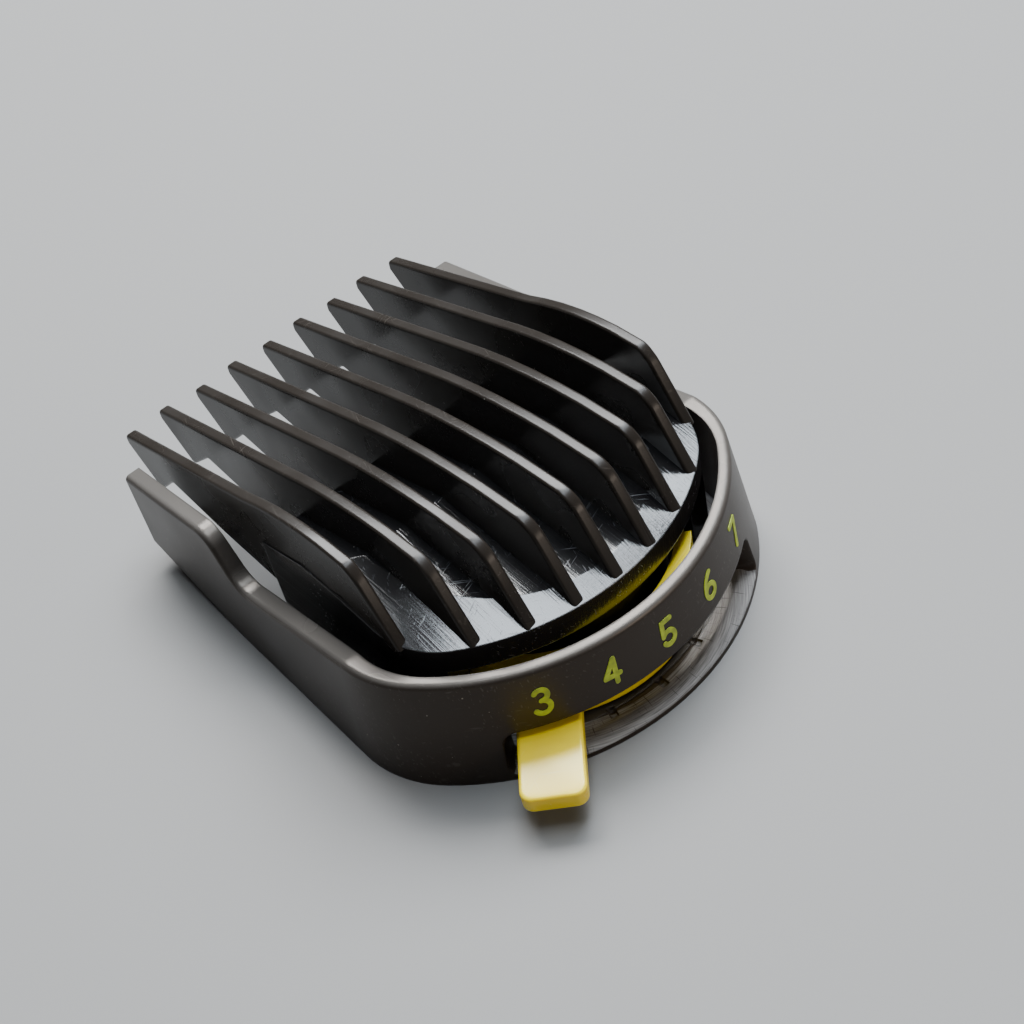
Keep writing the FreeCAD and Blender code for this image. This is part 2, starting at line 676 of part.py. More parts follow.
ceiling = floor_space("comb_ceiling", "0", "floor_thickness", "floor_front - comb_wall")
inner_block = extrude("comb_inner_block",
                      comb_outline("comb_inside", "comb_wall", "floor_front - comb_wall"),
                      "rim_height * 2")
skirt_core = cylinder("skirt_core", "skirt_inner_radius + skirt_wall", "rim_height * 2")
hollow = common("comb_hollow", fuse("comb_hollow_plan", [inner_block, skirt_core]), ceiling)
node("comb_base", cut("comb_base", envelope, hollow))

skirt_tube = tube("skirt", "skirt_inner_radius", "skirt_wall", "rim_height * 2", "skirt_bottom")
node("lift_skirt", common("skirt_under_ceiling", skirt_tube, ceiling))

for side, angle in PIN_ANGLES:
    pin = radial_pin("pin_" + side, "pin_radius", "skirt_inner_radius",
                     "ring_inner_radius + groove_depth - pin_gap", angle, "pin_height")
    core = cylinder("pin_core_" + side, "skirt_inner_radius + skirt_wall", "rim_height * 2")
    node("lift_pin_" + side, cut("pin_cut_" + side, pin, core))


def foot_place(across):
    """Where the rim passes under a tooth, as an expression."""
    corner = "(comb_half_width - comb_corner_radius)"
    reach = "(comb_front_radius - comb_corner_radius)"
    tangent = size("%s / %s * comb_front_radius" % (corner, reach))
    middle = "(comb_front_radius - comb_reach)"
    if abs(size(across)) < tangent:
        return "%s - sqrt(comb_front_radius ^ 2 - (%s) ^ 2)" % (middle, across)
    corner_y = "(%s - sqrt(%s ^ 2 - %s ^ 2))" % (middle, reach, corner)
    side = "(abs(%s) - %s)" % (across, corner)
    return "%s - sqrt(comb_corner_radius ^ 2 - %s ^ 2)" % (corner_y, side)


def tooth_sketch(number, foot, extra):
    """A tooth from the side: hooked nose, straight ridge, arc, steep rear end."""
    tip = "(tooth_tip + %s)" % extra
    hidden = "room_height + 0.5 * tooth_thickness"
    corners = [
        ("%s + tooth_thickness" % foot, hidden),
        ("floor_front - 0.5 * comb_wall", hidden),
        ("floor_front - 0.5 * comb_wall", "tooth_root_height"),
        ("floor_front", "tooth_root_height"),
        ("tooth_notch", "tooth_notch_height"),
        ("tooth_nose - nose_flat", "tooth_nose_height"),
        ("tooth_nose", "tooth_nose_height"),
        (tip, "tooth_tip_height - tip_thickness"),
        (tip, "tooth_tip_height"),
        ("ridge_bend", "ridge_bend_height"),
    ]
    sketch = new_sketch("tooth_side_%d" % number, "YZ")
    points = [VECTOR(size(a), size(b), 0) for a, b in corners]
    last = len(points) - 1
    for i in range(last):
        sketch.addGeometry(Part.LineSegment(points[i], points[i + 1]), False)
        if i:
            sketch.addConstraint(Sketcher.Constraint("Coincident", i - 1, 2, i, 1))
        pin_point(sketch, i, 1, *corners[i])
    pin_point(sketch, last - 1, 2, *corners[last])
    # the ridge's arc starts at a tangent and ends above the rear end
    ridge = points[last] - points[last - 1]
    ridge.normalize()
    radius = size("ridge_radius")
    middle = points[last] + VECTOR(ridge.y, -ridge.x, 0) * -radius
    if middle.y > points[last].y:
        middle = points[last] + VECTOR(ridge.y, -ridge.x, 0) * radius
    top_x = size("%s + tooth_drop_run" % foot)
    top = VECTOR(top_x, middle.y + math.sqrt(radius ** 2 - (top_x - middle.x) ** 2), 0)
    start_angle = math.atan2(points[last].y - middle.y, points[last].x - middle.x)
    end_angle = math.atan2(top.y - middle.y, top.x - middle.x)
    arc = sketch.addGeometry(
        Part.ArcOfCircle(Part.Circle(middle, UP, radius), start_angle, end_angle), False)
    sketch.addConstraint(Sketcher.Constraint("Tangent", last - 1, 2, arc, 1))
    index = sketch.addConstraint(Sketcher.Constraint("Radius", arc, radius))
    bind(sketch, "Constraints[%d]" % index, "ridge_radius")
    foot_point = VECTOR(size(foot), size("rim_height"), 0)
    drop = sketch.addGeometry(Part.LineSegment(top, foot_point), False)
    sketch.addConstraint(Sketcher.Constraint("Coincident", arc, 2, drop, 1))
    index = sketch.addConstraint(Sketcher.Constraint("DistanceX", -1, 1, drop, 1, top_x))
    bind(sketch, "Constraints[%d]" % index, "%s + tooth_drop_run" % foot)
    pin_point(sketch, drop, 2, foot, "rim_height")
    close = sketch.addGeometry(Part.LineSegment(foot_point, points[0]), False)
    sketch.addConstraint(Sketcher.Constraint("Coincident", drop, 2, close, 1))
    sketch.addConstraint(Sketcher.Constraint("Coincident", close, 2, 0, 1))
    return sketch, top


def tooth(number):
    """One tooth, cut to the comb's base so that the two meet face to face."""
    across = "(%d - 0.5 * (tooth_count + 1)) * tooth_pitch" % number
    foot = "(%s + foot_inset)" % foot_place(across)
    extra = "tooth_stagger" if number % 2 == 0 else "0"
    sketch, top = tooth_sketch(number, foot, extra)
    bind(sketch, "Placement.Base.x", across)
    blank = extrude("tooth_blank_%d" % number, sketch, "tooth_thickness", both_ways=True)
    tip = size("tooth_tip + %s" % extra)
    rounded = fillet("tooth_shoulder_%d" % number, blank, "tooth_shoulder",
                     lambda edge: near(edge, top.x, top.y))
    tipped = fillet("tooth_tipped_%d" % number, rounded, "tip_rounding",
                    lambda edge: near(edge, tip, size("tooth_tip_height")))

    def on_ridge(edge):
        """Both long edges of the ridge, from the tip to the rear foot."""
        box = edge.BoundBox
        middle = edge.CenterOfMass
        if box.XLength > 0.01:
            return False
        in_front = middle.y > size("floor_front")
        limit = size("tooth_tip_height - tip_rounding") if in_front else size("rim_height")
        return middle.z > limit - 0.001

    soft = fillet("tooth_soft_%d" % number, tipped, "tooth_edge", on_ridge)
    trimmed = common("tooth_trimmed_%d" % number, soft, tooth_field)
    node("tooth_%d" % number, cut("tooth_seated_%d" % number, trimmed, envelope))


tooth_field = extrude("tooth_field", comb_outline("tooth_limits", "0", "tooth_tip + 5"),
                      "rim_height * 2")
for number in range(1, int(size("tooth_count")) + 1):
    tooth(number)


# -------------------------------------------------------------------- numerals
def arc_stroke(middle, radius, start, end):
    """Part of a circle, angles in degrees, against the clock."""
    circle = Part.Circle(VECTOR(*middle, 0), UP, radius)
    return Part.ArcOfCircle(circle, math.radians(start), math.radians(end)).toShape()


def line_stroke(start, end):
    return Part.makeLine(VECTOR(*start, 0), VECTOR(*end, 0))


def digit_edges(digit, half_width, half_height):
    """The strokes' middle lines, about the middle of the digit."""
    w, t = half_width, half_height
    upper, lower = 0.46 * t, 0.54 * t
    foot = lower - t
    if digit == 3:
        return [arc_stroke((0, t - upper), upper, -90, 150),
                arc_stroke((0, foot), lower, -150, 90)]
    if digit == 4:
        knee = -0.4 * t
        return [line_stroke((0.45 * w, t), (-w, knee)),
                line_stroke((-w, knee), (w, knee)),
                line_stroke((0.45 * w, t), (0.45 * w, -t))]
    if digit == 5:
        turn = math.radians(145)
        start = (lower * math.cos(turn), foot + lower * math.sin(turn))
        return [line_stroke((0.85 * w, t), (-0.6 * w, t)),
                line_stroke((-0.6 * w, t), start),
                arc_stroke((0, foot), lower, -150, 145)]
    if digit == 6:
        stem = (t - foot) / math.sin(math.radians(115))
        return [arc_stroke((0, foot), lower, 0, 360),
                arc_stroke((stem - lower, foot), stem, 115, 180)]
    return [line_stroke((-w, t), (w, t)),
            line_stroke((w, t), (-0.35 * w, -t))]


def thick_line(edge, half):
    """The outline of a straight stroke with round ends."""
    start, end = (vertex.Point for vertex in edge.Vertexes)
    along = (end - start).normalize()
    across = VECTOR(-along.y, along.x, 0) * half
    arc, line = Part.Arc, Part.LineSegment
    return Part.Wire([
        line(start + across, end + across).toShape(),
        arc(end + across, end + along * half, end - across).toShape(),
        line(end - across, start - across).toShape(),
        arc(start - across, start - along * half, start + across).toShape(),
    ])


def stroke_face(edge, half):
    """The area that a pen of width 2 * half covers along one edge."""
    if isinstance(edge.Curve, Part.Line):
        return Part.Face(thick_line(edge, half))
    if edge.isClosed():
        middle, radius = edge.Curve.Center, edge.Curve.Radius
        rings = [Part.Wire(Part.makeCircle(radius + step, middle)) for step in (half, -half)]
        return Part.Face(rings[0]).cut(Part.Face(rings[1])).Faces[0]
    return Part.Face(Part.Wire([edge]).makeOffset2D(half, 0, False, False, False))


def numeral(digit, angle):
    """A printed digit, a thin relief that follows the band's curved wall."""
    half = 0.5 * size("digit_stroke")
    w = 0.5 * size("digit_width") - half
    t = 0.5 * size("digit_height") - half
    depth = VECTOR(0, 0, size("band_half_width"))
    solids = [stroke_face(edge, half).extrude(depth) for edge in digit_edges(digit, w, t)]
    body = solids[0].multiFuse(solids[1:]).removeSplitter()
    strokes = add("Part::Feature", "digit_%d" % digit)
    strokes.Shape = body
    upright = FreeCAD.Rotation(VECTOR(1, 0, 0), 90)
    place = polar(angle, size("ring_inner_radius"), size("digit_centre_height"))
    strokes.Placement = FreeCAD.Placement(place, FreeCAD.Rotation(UP, angle) * upright)
    node("numeral_%d" % digit, common("numeral_shape_%d" % digit, strokes, relief))


relief = cut("relief", flared_block("relief_block", "digit_relief"), band_block)
for place, digit in enumerate((3, 4, 5, 6, 7)):
    turn = "lever_angle + digit_turn + %d * setting_step + %d * digit_spread"
    numeral(digit, size(turn % (place, place - 2)))

# ------------------------------------------------------------- check and write
doc.recompute()
for thing in doc.Objects:
    if "Invalid" in thing.State or "Error" in thing.State:
        raise RuntimeError("%s did not build: %s" % (thing.Name, thing.State))
os.makedirs("parts", exist_ok=True)
for name, solid in nodes:
    shape = solid.Shape
    if shape.isNull() or not shape.isValid() or len(shape.Solids) != 1:
        raise RuntimeError("%s is not one valid solid: %d" % (name, len(shape.Solids)))
    shape.exportStep("parts/%s.step" % name)
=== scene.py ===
"""Adjustable guard comb for a trimmer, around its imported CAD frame.

Metres, +Z up, the same frame as the CAD: the origin is on the base plane, on the
axis that the thumb lever turns about, and +Y points to the tips of the teeth.
"""
import math

import bmesh
import bpy
from mathutils import Matrix, Vector


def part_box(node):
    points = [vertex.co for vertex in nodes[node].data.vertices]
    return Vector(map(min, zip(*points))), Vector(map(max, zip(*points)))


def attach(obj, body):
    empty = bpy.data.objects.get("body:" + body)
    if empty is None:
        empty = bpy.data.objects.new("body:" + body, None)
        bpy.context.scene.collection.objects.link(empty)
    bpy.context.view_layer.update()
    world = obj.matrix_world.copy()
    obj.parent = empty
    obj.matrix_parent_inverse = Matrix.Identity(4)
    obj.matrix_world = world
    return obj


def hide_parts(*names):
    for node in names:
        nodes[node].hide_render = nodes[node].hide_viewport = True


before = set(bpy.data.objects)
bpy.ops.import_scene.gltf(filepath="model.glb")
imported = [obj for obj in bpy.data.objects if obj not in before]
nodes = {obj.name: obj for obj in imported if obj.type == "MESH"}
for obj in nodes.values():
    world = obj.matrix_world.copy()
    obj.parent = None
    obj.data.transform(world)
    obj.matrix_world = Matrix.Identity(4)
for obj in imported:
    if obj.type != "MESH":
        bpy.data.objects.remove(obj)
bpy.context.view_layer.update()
MM = 0.001

# ---------------------------------------------------------------- camera
# A fairly long lens from the front left, looking down at the round end. The camera
# leans a little, so the comb lies aslant in the frame.
CAMERA_TURN = math.radians(-31.59)
CAMERA_RISE = math.radians(43.79)
CAMERA_LEAN = math.radians(-14.32)
CAMERA_PLACE = Vector((-53.5, -85.0, 108.5)) * MM
SENSOR = 36.0
FOCAL_LENGTH = 59.33


def camera_axes(turn, rise, lean):
    """Right, up and backward directions of a camera on a leaning head."""
    back = Vector((math.sin(turn) * math.cos(rise), -math.cos(turn) * math.cos(rise),
                   math.sin(rise)))
    level = Vector((math.cos(turn), math.sin(turn), 0.0))
    upright = back.cross(level)
    right = level * math.cos(lean) + upright * math.sin(lean)
    up = upright * math.cos(lean) - level * math.sin(lean)
    return right, up, back


camera_data = bpy.data.cameras.new("camera")
camera_data.sensor_width = SENSOR
camera_data.lens = FOCAL_LENGTH
camera_data.clip_start = 5 * MM
camera = bpy.data.objects.new("camera", camera_data)
bpy.context.scene.collection.objects.link(camera)
right, up, back = camera_axes(CAMERA_TURN, CAMERA_RISE, CAMERA_LEAN)
turned = Matrix((right, up, back)).transposed().to_4x4()
camera.matrix_world = Matrix.Translation(CAMERA_PLACE) @ turned
bpy.context.scene.camera = camera

# ---------------------------------------------------------------- studio
# A plain pale table top and a dim even room. One soft box stands behind the comb to
# the right, where flat faces mirror it, one long one hangs over it for the sloping
# floors and the ledge, and a small low one lights the front.
TABLE_HALF = 1.2
TABLE_GREY = (0.18, 0.179, 0.176)
TABLE_ROUGHNESS = 0.7
ROOM_GREY = (0.60, 0.59, 0.58)
ROOM_STRENGTH = 0.16

table_mesh = bpy.data.meshes.new("table_top")
table_mesh.from_pydata([(-TABLE_HALF, -TABLE_HALF, 0), (TABLE_HALF, -TABLE_HALF, 0),
                        (TABLE_HALF, TABLE_HALF, 0), (-TABLE_HALF, TABLE_HALF, 0)],
                       [], [(0, 1, 2, 3)])
table_paint = bpy.data.materials.new("table_paint")
table_paint.use_nodes = True
table_shader = table_paint.node_tree.nodes["Principled BSDF"]
table_shader.inputs["Base Color"].default_value = (*TABLE_GREY, 1)
table_shader.inputs["Roughness"].default_value = TABLE_ROUGHNESS
table_mesh.materials.append(table_paint)
table_top = bpy.data.objects.new("table_top", table_mesh)
bpy.context.scene.collection.objects.link(table_top)


def soft_box(name, place, width, height, power, tint):
    """A flat lamp with a diffuser that faces the origin."""
    data = bpy.data.lights.new(name, "AREA")
    data.shape = "RECTANGLE"
    data.size = width
    data.size_y = height
    data.energy = power
    data.color = tint
    lamp = bpy.data.objects.new(name, data)
    bpy.context.scene.collection.objects.link(lamp)
    aim = (-Vector(place)).to_track_quat("-Z", "Y")
    lamp.matrix_world = Matrix.Translation(Vector(place)) @ aim.to_matrix().to_4x4()


soft_box("rear_box", (0.25, 0.39, 0.61), width=0.50, height=0.34, power=17.0,
         tint=(0.98, 0.99, 1.0))
soft_box("long_box", (0.26, 0.085, 0.66), width=0.24, height=0.90, power=9.5,
         tint=(0.84, 0.92, 1.0))
soft_box("low_box", (0.26, -0.62, 0.28), width=0.36, height=0.18, power=1.6,
         tint=(1.0, 0.84, 0.70))

room = bpy.data.worlds.new("room")
room.use_nodes = True
room.node_tree.nodes["Background"].inputs["Color"].default_value = (*ROOM_GREY, 1)
room.node_tree.nodes["Background"].inputs["Strength"].default_value = ROOM_STRENGTH
bpy.context.scene.world = room

# ---------------------------------------------------------------- comb base
# The floors between the teeth, the rim and the deep side walls: one moulding in
# glossy black plastic, mirror-smooth from a polished mould and scratched by use.
BASE_BLACK = (0.0105, 0.0105, 0.0115)
BASE_SCRATCH = (0.20, 0.21, 0.24)
BASE_EASE = 0.16 * MM
BASE_RELIEF = 0.05 * MM
MILL_STRETCH = (7000.0, 55.0, 900.0)
LINT = (0.32, 0.31, 0.29)


def reckon(tree, operation, *feeds):
    """One sum in a node tree; a feed is a number or a socket."""
    step = tree.nodes.new("ShaderNodeMath")
    step.operation = operation
    for socket, feed in zip(step.inputs, feeds):
        if isinstance(feed, (int, float)):
            socket.default_value = feed
        else:
            tree.links.new(feed, socket)
    return step.outputs[0]


def new_effect(name, feeds, results):
    """An empty shader group; feeds and results are names with a socket type."""
    tree = bpy.data.node_groups.new(name, "ShaderNodeTree")
    for word, kind, value in feeds:
        socket = tree.interface.new_socket(word, in_out="INPUT", socket_type=kind)
        if value is not None:
            socket.default_value = value
    for word, kind in results:
        tree.interface.new_socket(word, in_out="OUTPUT", socket_type=kind)
    return tree, tree.nodes.new("NodeGroupInput"), tree.nodes.new("NodeGroupOutput")


def hair_scratches():
    """Thin scratches in three directions that gather in patches."""
    tree, given, made = new_effect(
        "hair_scratches",
        [("Place", "NodeSocketVector", None), ("Spacing", "NodeSocketFloat", 0.0004),
         ("Patch", "NodeSocketFloat", 0.008)],
        [("Mask", "NodeSocketFloat")])
    per_metre = reckon(tree, "DIVIDE", 1.0, given.outputs["Spacing"])
    lines = None
    for turn, tilt in ((0.35, 0.2), (-0.9, -0.1), (1.35, 0.5)):
        swing = tree.nodes.new("ShaderNodeVectorRotate")
        swing.rotation_type = "EULER_XYZ"
        swing.inputs["Rotation"].default_value = (tilt, 0.5 * tilt, turn)
        tree.links.new(given.outputs["Place"], swing.inputs["Vector"])
        stretch = tree.nodes.new("ShaderNodeVectorMath")
        stretch.operation = "MULTIPLY"
        stretch.inputs[1].default_value = (1.0, 0.035, 0.4)
        tree.links.new(swing.outputs[0], stretch.inputs[0])
        noise = tree.nodes.new("ShaderNodeTexNoise")
        noise.inputs["Detail"].default_value = 1.0
        tree.links.new(stretch.outputs[0], noise.inputs["Vector"])
        tree.links.new(per_metre, noise.inputs["Scale"])
        line = tree.nodes.new("ShaderNodeMapRange")
        line.inputs["From Min"].default_value = 0.68
        line.inputs["From Max"].default_value = 0.75
        tree.links.new(noise.outputs["Fac"], line.inputs["Value"])
        lines = line.outputs[0] if lines is None else reckon(
            tree, "MAXIMUM", lines, line.outputs[0])
    patches = tree.nodes.new("ShaderNodeTexNoise")
    patches.inputs["Detail"].default_value = 2.0
    tree.links.new(given.outputs["Place"], patches.inputs["Vector"])
    tree.links.new(reckon(tree, "DIVIDE", 1.0, given.outputs["Patch"]), patches.inputs["Scale"])
    patch = tree.nodes.new("ShaderNodeMapRange")
    patch.inputs["From Min"].default_value = 0.42
    patch.inputs["From Max"].default_value = 0.62
    tree.links.new(patches.outputs["Fac"], patch.inputs["Value"])
    tree.links.new(reckon(tree, "MULTIPLY", lines, patch.outputs[0]), made.inputs["Mask"])
    return tree


def dust_specks():
    """Separate pale specks, as dust and lint leave on dark plastic."""
    tree, given, made = new_effect(
        "dust_specks",
        [("Place", "NodeSocketVector", None), ("Spacing", "NodeSocketFloat", 0.0012),
         ("Size", "NodeSocketFloat", 0.08), ("Share", "NodeSocketFloat", 0.5)],
        [("Mask", "NodeSocketFloat")])
    cells = tree.nodes.new("ShaderNodeTexVoronoi")
    tree.links.new(given.outputs["Place"], cells.inputs["Vector"])
    tree.links.new(reckon(tree, "DIVIDE", 1.0, given.outputs["Spacing"]), cells.inputs["Scale"])
    draw = tree.nodes.new("ShaderNodeSeparateColor")
    tree.links.new(cells.outputs["Color"], draw.inputs[0])
    grain = reckon(tree, "MULTIPLY", given.outputs["Size"], draw.outputs[1])
    speck = reckon(tree, "LESS_THAN", cells.outputs["Distance"], grain)
    chosen = reckon(tree, "LESS_THAN", draw.outputs[0], given.outputs["Share"])
    tree.links.new(reckon(tree, "MULTIPLY", speck, chosen), made.inputs["Mask"])
    return tree


def mould_skin():
    """Slow sink marks under a fine grain: a height, and a gloss that wanders."""
    tree, given, made = new_effect(
        "mould_skin",
        [("Place", "NodeSocketVector", None), ("Sink", "NodeSocketFloat", 0.006),
         ("Grain", "NodeSocketFloat", 0.0003), ("Grain Share", "NodeSocketFloat", 0.2)],
        [("Height", "NodeSocketFloat"), ("Gloss", "NodeSocketFloat")])
    layers = []
    for word, detail in (("Sink", 1.0), ("Grain", 3.0)):
        noise = tree.nodes.new("ShaderNodeTexNoise")
        noise.inputs["Detail"].default_value = detail
        tree.links.new(given.outputs["Place"], noise.inputs["Vector"])
        tree.links.new(reckon(tree, "DIVIDE", 1.0, given.outputs[word]), noise.inputs["Scale"])
        layers.append(noise.outputs["Fac"])
    fine = reckon(tree, "MULTIPLY", layers[1], given.outputs["Grain Share"])
    tree.links.new(reckon(tree, "ADD", layers[0], fine), made.inputs["Height"])
    tree.links.new(layers[0], made.inputs["Gloss"])
    return tree


SCRATCHES, SPECKS, SKIN = hair_scratches(), dust_specks(), mould_skin()


def place_effect(tree, group, place, **values):
    """One use of a shared effect in a material, with its own values."""
    effect = tree.nodes.new("ShaderNodeGroup")
    effect.node_tree = group
    tree.links.new(place, effect.inputs["Place"])
    for word, value in values.items():
        effect.inputs[word.replace("_", " ")].default_value = value
    return effect


def blended(tree, share, low, high):
    """A colour between two, by a mask; each is a plain colour or a socket."""
    mix = tree.nodes.new("ShaderNodeMix")
    mix.data_type = "RGBA"
    tree.links.new(share, mix.inputs["Factor"])
    for word, feed in (("A", low), ("B", high)):
        socket = [s for s in mix.inputs if s.name == word and s.type == "RGBA"][0]
        if isinstance(feed, tuple):
            socket.default_value = (*feed, 1)
        else:
            tree.links.new(feed, socket)
    return [s for s in mix.outputs if s.type == "RGBA"][0]


def ranged(tree, feed, low, high, from_low=0.3, from_high=0.7):
    """A value stretched from one range to another."""
    step = tree.nodes.new("ShaderNodeMapRange")
    for word, value in (("From Min", from_low), ("From Max", from_high), ("To Min", low),
                        ("To Max", high)):
        step.inputs[word].default_value = value
    tree.links.new(feed, step.inputs["Value"])
    return step.outputs[0]


def eased_bump(tree, shader, height, depth, ease):
    """Relief from a height, on faces whose edges are eased by a small radius."""
    edge = tree.nodes.new("ShaderNodeBevel")
    edge.samples = 6
    edge.inputs["Radius"].default_value = ease
    bump = tree.nodes.new("ShaderNodeBump")
    bump.inputs["Distance"].default_value = depth
    tree.links.new(height, bump.inputs["Height"])
    tree.links.new(edge.outputs["Normal"], bump.inputs["Normal"])
    tree.links.new(bump.outputs["Normal"], shader.inputs["Normal"])


def new_finish(name):
    """A material with its shader and the Object coordinates that patterns read."""
    material = bpy.data.materials.new(name)
    material.use_nodes = True
    tree = material.node_tree
    place = tree.nodes.new("ShaderNodeTexCoord").outputs["Object"]
    return material, tree, tree.nodes["Principled BSDF"], place


def mill_lines(tree, place, depth):
    """Fine lines along Y that the cutter left in the mould's floors."""
    stretch = tree.nodes.new("ShaderNodeVectorMath")
    stretch.operation = "MULTIPLY"
    stretch.inputs[1].default_value = MILL_STRETCH
    tree.links.new(place, stretch.inputs[0])
    lines = tree.nodes.new("ShaderNodeTexNoise")
    lines.inputs["Scale"].default_value = 1.0
    lines.inputs["Detail"].default_value = 2.0
    tree.links.new(stretch.outputs[0], lines.inputs["Vector"])
    return ranged(tree, lines.outputs["Fac"], 0.0, depth, 0.45, 0.7)


def gloss_black(name, black, scratched, scratch_share, smooth, dull, shine, milled=0.0):
    """Polished black plastic: faint sink marks, hair scratches and a few specks."""
    material, tree, shader, place = new_finish(name)
    skin = place_effect(tree, SKIN, place, Sink=0.007, Grain=0.00025, Grain_Share=0.05)
    marks = place_effect(tree, SCRATCHES, place, Spacing=0.00016, Patch=0.006)
    specks = place_effect(tree, SPECKS, place, Spacing=0.0016, Size=0.07, Share=0.35)
    worn = reckon(tree, "MULTIPLY", marks.outputs["Mask"], scratch_share)
    colour = blended(tree, worn, black, scratched)
    colour = blended(tree, reckon(tree, "MULTIPLY", specks.outputs["Mask"], 0.5), colour,
                     LINT)
    tree.links.new(colour, shader.inputs["Base Color"])
    gloss = ranged(tree, skin.outputs["Gloss"], smooth, dull)
    tree.links.new(reckon(tree, "ADD", gloss, reckon(tree, "MULTIPLY", worn, 0.5)),
                   shader.inputs["Roughness"])
    height = reckon(tree, "ADD", skin.outputs["Height"], reckon(tree, "MULTIPLY", worn, -0.25))
    if milled:
        height = reckon(tree, "ADD", height, mill_lines(tree, place, milled))
    eased_bump(tree, shader, height, BASE_RELIEF, BASE_EASE)
    shader.inputs["IOR"].default_value = 1.5
    shader.inputs["Specular IOR Level"].default_value = shine
    return material


def refinish(piece, material):
    """Give a piece its finish in place of the one it came with."""
    piece.data.materials.clear()
    piece.data.materials.append(material)


base_finish = gloss_black("polished_black", BASE_BLACK, BASE_SCRATCH, scratch_share=0.30,
                         smooth=0.09, dull=0.20, shine=0.9, milled=0.12)
refinish(nodes["comb_base"], base_finish)

# ---------------------------------------------------------------- teeth
# Nine blades moulded in one with the base: a hooked nose, a long straight ridge, a
# rounded shoulder and a steep rear end that stands on the rim. Even ones are longer.
# They have the CAD teeth's thickness at the draft's level, and thin out upwards.
TOOTH_PITCH = 4.0 * MM
TOOTH_COUNT = 9
TOOTH_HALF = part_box("tooth_5")[1][0]
TOOTH_DRAFT, DRAFT_LEVEL = 0.005, 13 * MM
TOOTH_ROUND = 0.27 * MM
ROUND_TURNS = (0, 22, 45, 68, 90)
EVEN_EXTRA = 0.35 * MM
# the side outline, in mm along Y and Z
RIDGE_BEND, RIDGE_TIP, RIDGE_RADIUS = (16.3, 16.4), (38.4, 11.2), 80.0
REAR_RUN, SHOULDER_ROUND = 4.1, 3.0
NOSE_FROM, NOSE_TO = 31 * MM, 34 * MM
RIM_LEVEL, FACET_SLOPE = 11.7 * MM, 0.35
SEAT_INSET, SEAT_END, SEAT_LOW, SEAT_HIGH = 0.3 * MM, 14.5 * MM, 11 * MM, 14 * MM
RIM_ARC, RIM_CORNER, RIM_HALF, RIM_REACH = 22.0 * MM, 8.0 * MM, 16.7 * MM, 11.44 * MM
FLOOR_REAR, FLOOR_BEND, FLOOR_FRONT = (-11.44, 12.1), (4.6, 14.4), (15.0, 12.2)
SEAT_DEPTH = 0.65 * MM
TOOTH_BLACK = (0.014, 0.0115, 0.0095)
TOOTH_SCRATCH = (0.15, 0.13, 0.11)


def rim_at(across):
    """Where the rim passes under a tooth, along Y."""
    centre = RIM_ARC - RIM_REACH
    side = RIM_HALF - RIM_CORNER
    if abs(across) <= side * RIM_ARC / (RIM_ARC - RIM_CORNER):
        return centre - math.sqrt(RIM_ARC ** 2 - across ** 2)
    corner_y = centre - math.sqrt((RIM_ARC - RIM_CORNER) ** 2 - side ** 2)
    return corner_y - math.sqrt(RIM_CORNER ** 2 - (abs(across) - side) ** 2)


def rounded_outline(corners):
    """Points (y, z) in mm round an outline whose corners carry a radius each."""
    outline = []
    count = len(corners)
    for i, (y, z, radius) in enumerate(corners):
        here = Vector((y, z))
        if radius == 0:
            outline.append(here)
            continue
        before = (Vector(corners[i - 1][:2]) - here).normalized()
        after = (Vector(corners[(i + 1) % count][:2]) - here).normalized()
        half = 0.5 * before.angle(after)
        reach = radius / math.tan(half)
        centre = here + (before + after).normalized() * (radius / math.sin(half))
        start = here + before * reach - centre
        end = here + after * reach - centre
        sweep = start.angle_signed(end)
        steps = max(2, int(abs(sweep) / 0.16))
        for step in range(steps + 1):
            turn = -sweep * step / steps
            outline.append(centre + Vector((
                start.x * math.cos(turn) - start.y * math.sin(turn),
                start.x * math.sin(turn) + start.y * math.cos(turn))))
    return outline


def tooth_outline():
    """The middle tooth from the side, against the clock seen from +X, and its seat."""
    foot = rim_at(0) / MM + 0.15
    # the ridge's arc joins the straight ridge at a tangent
    bend = Vector(RIDGE_BEND)
    ridge = (bend - Vector(RIDGE_TIP)).normalized()
    centre = bend - Vector((ridge.y, -ridge.x)) * RIDGE_RADIUS

    def on_arc(y, radius):
        return y, centre.y + math.sqrt(RIDGE_RADIUS ** 2 - (y - centre.x) ** 2), radius

    corners = [(*RIDGE_TIP, 0.5), (*RIDGE_BEND, 0)]
    corners += [on_arc(y, 0) for y in (13.0, 9.5, 6.0, 2.5, -1.0)]
    corners += [on_arc(foot + REAR_RUN, SHOULDER_ROUND),
                (foot, 11.7, 0), (foot + 0.6, 11.3, 0), (foot + 2.6, 11.7, 0), (-3.0, 12.6, 0),
                (4.6, 13.75, 0), (10.0, 12.6, 0), (14.35, 11.7, 0), (14.35, 7.1, 0),
                (15.0, 7.1, 0), (23.0, 7.95, 0), (31.0, 9.4, 0.9), (34.3, 6.6, 0.35),
                (34.9, 6.6, 0.35), (38.4, 10.2, 0.4)]
    return [Vector((p.x, p.y)) * MM for p in rounded_outline(corners)], foot * MM


def inset_outline(outline, step):
    """The outline moved inwards by a small step."""
    moved = []
    count = len(outline)
    for i, here in enumerate(outline):
        before = (here - outline[i - 1]).normalized()
        after = (outline[(i + 1) % count] - here).normalized()
        inward = Vector((-before.y, before.x)) + Vector((-after.y, after.x))
        inward.normalize()
        share = max(0.5, inward.dot(Vector((-after.y, after.x))))
        moved.append(here + inward * (step / share))
    return moved


